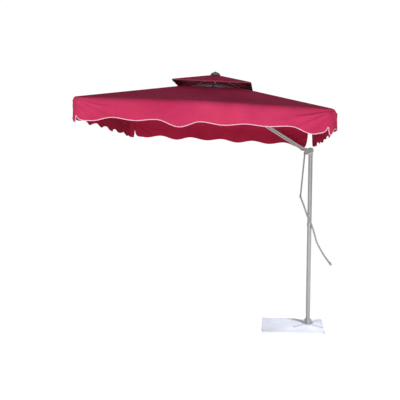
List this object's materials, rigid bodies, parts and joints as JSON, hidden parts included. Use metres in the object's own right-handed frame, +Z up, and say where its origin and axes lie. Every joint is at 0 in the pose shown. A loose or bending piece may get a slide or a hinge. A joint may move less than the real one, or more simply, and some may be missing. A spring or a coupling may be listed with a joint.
{
  "type": "cantilever parasol",
  "caption": "Square two-tier parasol with scalloped valances, hung from a slanted arm on a side pole, with a hand lever, a folding rib frame and a slab base.",
  "frame": {"origin": "on the ground at the pole's axis, on the slab's underside", "axes": "+Z up; the canopy's sides lie along X and Y, and the arm leaves the pole along (-1, -1, 0)"},
  "size_m": [2.4453, 2.3965, 2.9041],
  "materials": {
    "silver_paint": "satin",
    "plated_steel": "satin",
    "aluminium_tube": "satin",
    "dark_plastic": "matte",
    "stone": "matte",
    "canopy_fabric": "matte"
  },
  "bodies": {
    "base": {"base_slab": "stone", "base_cross": "silver_paint", "pole_foot": "silver_paint", "base_bolt_1": "plated_steel", "base_bolt_2": "plated_steel", "base_bolt_3": "plated_steel", "base_bolt_4": "plated_steel", "pole": "silver_paint", "pole_cap": "dark_plastic", "head_bracket": "silver_paint", "arm_hinge_bolt": "plated_steel", "lever_bracket": "silver_paint", "lever_bolt": "plated_steel"},
    "lever": {"lever_bar": "silver_paint", "lever_grip": "dark_plastic"},
    "link": {"link_bar": "silver_paint", "knee_bolt": "plated_steel"},
    "arm": {"arm_rail_front": "aluminium_tube", "arm_rail_rear": "aluminium_tube", "link_top_bolt": "plated_steel", "hub_bolt": "plated_steel", "hub_stem": "plated_steel", "top_hub": "dark_plastic", "rib_ring_wire": "plated_steel", "cap_hub": "dark_plastic", "finial": "plated_steel"},
    "runner": {"runner": "dark_plastic"},
    "catch": {"runner_catch": "plated_steel"},
    "rib_1": {"rib_1": "aluminium_tube", "canopy_panel_1": "canopy_fabric"},
    "strut_1": {"strut_1": "aluminium_tube"},
    "rib_2": {"rib_2": "aluminium_tube", "canopy_panel_2": "canopy_fabric"},
    "strut_2": {"strut_2": "aluminium_tube"},
    "rib_3": {"rib_3": "aluminium_tube", "canopy_panel_3": "canopy_fabric"},
    "strut_3": {"strut_3": "aluminium_tube"},
    "rib_4": {"rib_4": "aluminium_tube", "canopy_panel_4": "canopy_fabric"},
    "strut_4": {"strut_4": "aluminium_tube"},
    "rib_5": {"rib_5": "aluminium_tube", "canopy_panel_5": "canopy_fabric"},
    "strut_5": {"strut_5": "aluminium_tube"},
    "rib_6": {"rib_6": "aluminium_tube", "canopy_panel_6": "canopy_fabric"},
    "strut_6": {"strut_6": "aluminium_tube"},
    "rib_7": {"rib_7": "aluminium_tube", "canopy_panel_7": "canopy_fabric"},
    "strut_7": {"strut_7": "aluminium_tube"},
    "rib_8": {"rib_8": "aluminium_tube", "canopy_panel_8": "canopy_fabric"},
    "strut_8": {"strut_8": "aluminium_tube"},
    "cap_rib_1": {"cap_rib_1": "aluminium_tube", "cap_panel_1": "canopy_fabric"},
    "cap_rib_2": {"cap_rib_2": "aluminium_tube", "cap_panel_2": "canopy_fabric"},
    "cap_rib_3": {"cap_rib_3": "aluminium_tube", "cap_panel_3": "canopy_fabric"},
    "cap_rib_4": {"cap_rib_4": "aluminium_tube", "cap_panel_4": "canopy_fabric"}
  },
  "joints": [
    {"name": "arm_lift", "type": "hinge", "parent": "base", "child": "arm", "pos_m": [0, 0, 2.106], "axis": [0.7071, -0.7071, 0], "range_deg": [0, 35]},
    {"name": "lever_swing", "type": "hinge", "parent": "base", "child": "lever", "pos_m": [0, 0, 1.24], "axis": [0.7071, -0.7071, 0], "range_deg": [0, 11.68]},
    {"name": "link_swing", "type": "hinge", "parent": "arm", "child": "link", "pos_m": [-0.10253, -0.10253, 2.073], "axis": [0.7071, -0.7071, 0], "range_deg": [-48.75, 0]},
    {"name": "canopy_fold", "type": "slide", "parent": "arm", "child": "runner", "axis": [-0.055, -0.055, -0.997], "range_m": [0, 0.69407]},
    {"name": "catch_press", "type": "slide", "parent": "runner", "child": "catch", "axis": [0.9219, 0.3807, -0.0718], "range_m": [0, 0.005], "stiffness_N_per_m": 400, "springref_m": -0.004},
    {"name": "rib_1_fold", "type": "hinge", "parent": "arm", "child": "rib_1", "pos_m": [-0.95387, -1.02387, 2.76221], "axis": [-0.0015, 0.9985, -0.055], "range_deg": [0, 68.62], "deforming": ["canopy_panel_1"]},
    {"name": "strut_1_fold", "type": "hinge", "parent": "rib_1", "child": "strut_1", "pos_m": [-0.49197, -1.03374, 2.57018], "axis": [-0.0015, 0.9985, -0.055], "range_deg": [-136.22, 0]},
    {"name": "rib_2_fold", "type": "hinge", "parent": "arm", "child": "rib_2", "pos_m": [-0.97441, -0.97441, 2.76062], "axis": [-0.7071, 0.7071, 0], "range_deg": [0, 73.77], "deforming": ["canopy_panel_2"]},
    {"name": "strut_2_fold", "type": "hinge", "parent": "rib_2", "child": "strut_2", "pos_m": [-0.64946, -0.64946, 2.60394], "axis": [-0.7071, 0.7071, 0], "range_deg": [-136.86, 0]},
    {"name": "rib_3_fold", "type": "hinge", "parent": "arm", "child": "rib_3", "pos_m": [-1.02387, -0.95387, 2.76221], "axis": [-0.9985, 0.0015, 0.055], "range_deg": [0, 68.62], "deforming": ["canopy_panel_3"]},
    {"name": "strut_3_fold", "type": "hinge", "parent": "rib_3", "child": "strut_3", "pos_m": [-1.03374, -0.49197, 2.57018], "axis": [-0.9985, 0.0015, 0.055], "range_deg": [-136.22, 0]},
    {"name": "rib_4_fold", "type": "hinge", "parent": "arm", "child": "rib_4", "pos_m": [-1.07326, -0.97426, 2.76606], "axis": [-0.705, -0.705, 0.0778], "range_deg": [0, 73.77], "deforming": ["canopy_panel_4"]},
    {"name": "strut_4_fold", "type": "hinge", "parent": "rib_4", "child": "strut_4", "pos_m": [-1.41247, -0.6483, 2.64595], "axis": [-0.705, -0.705, 0.0778], "range_deg": [-136.86, 0]},
    {"name": "rib_5_fold", "type": "hinge", "parent": "arm", "child": "rib_5", "pos_m": [-1.09365, -1.02365, 2.76991], "axis": [0.0015, -0.9985, 0.055], "range_deg": [0, 68.62], "deforming": ["canopy_panel_5"]},
    {"name": "strut_5_fold", "type": "hinge", "parent": "rib_5", "child": "strut_5", "pos_m": [-1.57387, -1.0321, 2.62976], "axis": [0.0015, -0.9985, 0.055], "range_deg": [-136.22, 0]},
    {"name": "rib_6_fold", "type": "hinge", "parent": "arm", "child": "rib_6", "pos_m": [-1.07311, -1.07311, 2.7715], "axis": [0.7071, -0.7071, 0], "range_deg": [0, 73.77], "deforming": ["canopy_panel_6"]},
    {"name": "strut_6_fold", "type": "hinge", "parent": "rib_6", "child": "strut_6", "pos_m": [-1.41131, -1.41131, 2.68797], "axis": [0.7071, -0.7071, 0], "range_deg": [-136.86, 0]},
    {"name": "rib_7_fold", "type": "hinge", "parent": "arm", "child": "rib_7", "pos_m": [-1.02365, -1.09365, 2.76991], "axis": [0.9985, -0.0015, -0.055], "range_deg": [0, 68.62], "deforming": ["canopy_panel_7"]},
    {"name": "strut_7_fold", "type": "hinge", "parent": "rib_7", "child": "strut_7", "pos_m": [-1.0321, -1.57387, 2.62976], "axis": [0.9985, -0.0015, -0.055], "range_deg": [-136.22, 0]},
    {"name": "rib_8_fold", "type": "hinge", "parent": "arm", "child": "rib_8", "pos_m": [-0.97426, -1.07326, 2.76606], "axis": [0.705, 0.705, -0.0778], "range_deg": [0, 73.77], "deforming": ["canopy_panel_8"]},
    {"name": "strut_8_fold", "type": "hinge", "parent": "rib_8", "child": "strut_8", "pos_m": [-0.6483, -1.41247, 2.64595], "axis": [0.705, 0.705, -0.0778], "range_deg": [-136.86, 0]},
    {"name": "cap_rib_1_fold", "type": "hinge", "parent": "arm", "child": "cap_rib_1", "pos_m": [-1.002, -1.002, 2.85193], "axis": [-0.7071, 0.7071, 0], "range_deg": [0, 40.71], "deforming": ["cap_panel_1"]},
    {"name": "cap_rib_2_fold", "type": "hinge", "parent": "arm", "child": "cap_rib_2", "pos_m": [-1.03589, -1.00195, 2.85379], "axis": [-0.705, -0.705, 0.0778], "range_deg": [0, 40.71], "deforming": ["cap_panel_2"]},
    {"name": "cap_rib_3_fold", "type": "hinge", "parent": "arm", "child": "cap_rib_3", "pos_m": [-1.03584, -1.03584, 2.85566], "axis": [0.7071, -0.7071, 0], "range_deg": [0, 40.71], "deforming": ["cap_panel_3"]},
    {"name": "cap_rib_4_fold", "type": "hinge", "parent": "arm", "child": "cap_rib_4", "pos_m": [-1.00195, -1.03589, 2.85379], "axis": [0.705, 0.705, -0.0778], "range_deg": [0, 40.71], "deforming": ["cap_panel_4"]}
  ],
  "couplings": [
    {"joint": "lever_swing", "follows": "arm_lift", "ratio": 0.33342},
    {"joint": "link_swing", "follows": "arm_lift", "ratio": -1.3927},
    {"joint": "rib_1_fold", "follows": "canopy_fold", "rad_per_m": 1.7253},
    {"joint": "strut_1_fold", "follows": "canopy_fold", "rad_per_m": -3.4252},
    {"joint": "rib_2_fold", "follows": "canopy_fold", "rad_per_m": 1.8547},
    {"joint": "strut_2_fold", "follows": "canopy_fold", "rad_per_m": -3.4413},
    {"joint": "rib_3_fold", "follows": "canopy_fold", "rad_per_m": 1.7253},
    {"joint": "strut_3_fold", "follows": "canopy_fold", "rad_per_m": -3.4252},
    {"joint": "rib_4_fold", "follows": "canopy_fold", "rad_per_m": 1.8547},
    {"joint": "strut_4_fold", "follows": "canopy_fold", "rad_per_m": -3.4413},
    {"joint": "rib_5_fold", "follows": "canopy_fold", "rad_per_m": 1.7253},
    {"joint": "strut_5_fold", "follows": "canopy_fold", "rad_per_m": -3.4252},
    {"joint": "rib_6_fold", "follows": "canopy_fold", "rad_per_m": 1.8547},
    {"joint": "strut_6_fold", "follows": "canopy_fold", "rad_per_m": -3.4413},
    {"joint": "rib_7_fold", "follows": "canopy_fold", "rad_per_m": 1.7253},
    {"joint": "strut_7_fold", "follows": "canopy_fold", "rad_per_m": -3.4252},
    {"joint": "rib_8_fold", "follows": "canopy_fold", "rad_per_m": 1.8547},
    {"joint": "strut_8_fold", "follows": "canopy_fold", "rad_per_m": -3.4413},
    {"joint": "cap_rib_1_fold", "follows": "canopy_fold", "rad_per_m": 1.0234},
    {"joint": "cap_rib_2_fold", "follows": "canopy_fold", "rad_per_m": 1.0234},
    {"joint": "cap_rib_3_fold", "follows": "canopy_fold", "rad_per_m": 1.0234},
    {"joint": "cap_rib_4_fold", "follows": "canopy_fold", "rad_per_m": 1.0234}
  ]
}
